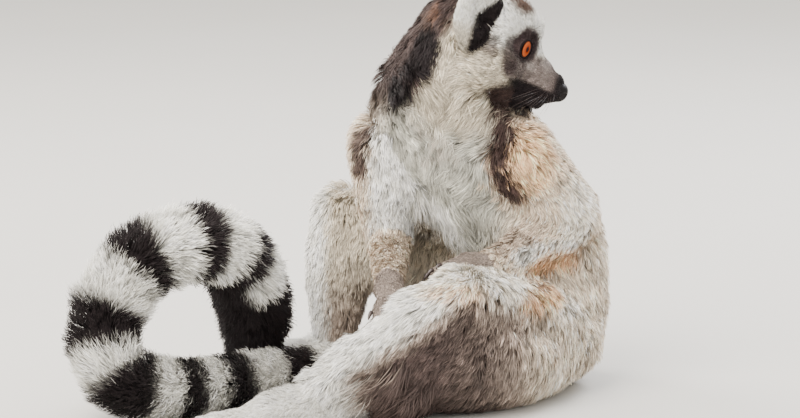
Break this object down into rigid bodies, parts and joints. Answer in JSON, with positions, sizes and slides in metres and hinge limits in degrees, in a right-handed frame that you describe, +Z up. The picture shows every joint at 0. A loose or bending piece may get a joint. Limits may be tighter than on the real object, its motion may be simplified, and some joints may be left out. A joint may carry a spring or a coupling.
{
  "type": "ring-tailed lemur, life-size still model",
  "caption": "Life-size still museum model of an adult ring-tailed lemur sitting upright, head turned over its shoulder, ringed tail curled beside its feet.",
  "frame": {"origin": "on the floor under the middle of the animal's box", "axes": "+Z up, +X along the length from the curled tail to the back, the way the face looks; the chest and the left knee face -Y"},
  "size_m": [0.4029, 0.2401, 0.319],
  "materials": {
    "grey_fur": "grizzled grey and brown fur, soft and matt",
    "white_fur": "white and cream fur with black markings on the face",
    "tail_fur": "long bushy fur in black and white rings",
    "nose_skin": "bare moist black nose skin",
    "amber_eye": "glass eye with an orange iris and round black pupil"
  },
  "bodies": {
    "root": {"belly": "grey_fur", "chest": "white_fur", "ear_left": "white_fur", "ear_right": "white_fur", "eye_left": "amber_eye", "eye_right": "amber_eye", "foot_left": "white_fur", "foot_right": "white_fur", "forearm_left": "grey_fur", "forearm_right": "grey_fur", "hand_left": "grey_fur", "hand_right": "grey_fur", "head": "white_fur", "neck": "grey_fur", "nose": "nose_skin", "rump": "grey_fur", "shin_left": "grey_fur", "shin_right": "grey_fur", "tail_1": "tail_fur", "tail_2": "tail_fur", "tail_3": "tail_fur", "tail_4": "tail_fur", "tail_5": "tail_fur", "tail_6": "tail_fur", "tail_7": "tail_fur", "tail_8": "tail_fur", "thigh_left": "grey_fur", "thigh_right": "grey_fur", "upper_arm_left": "grey_fur", "upper_arm_right": "grey_fur"}
  },
  "joints": []
}
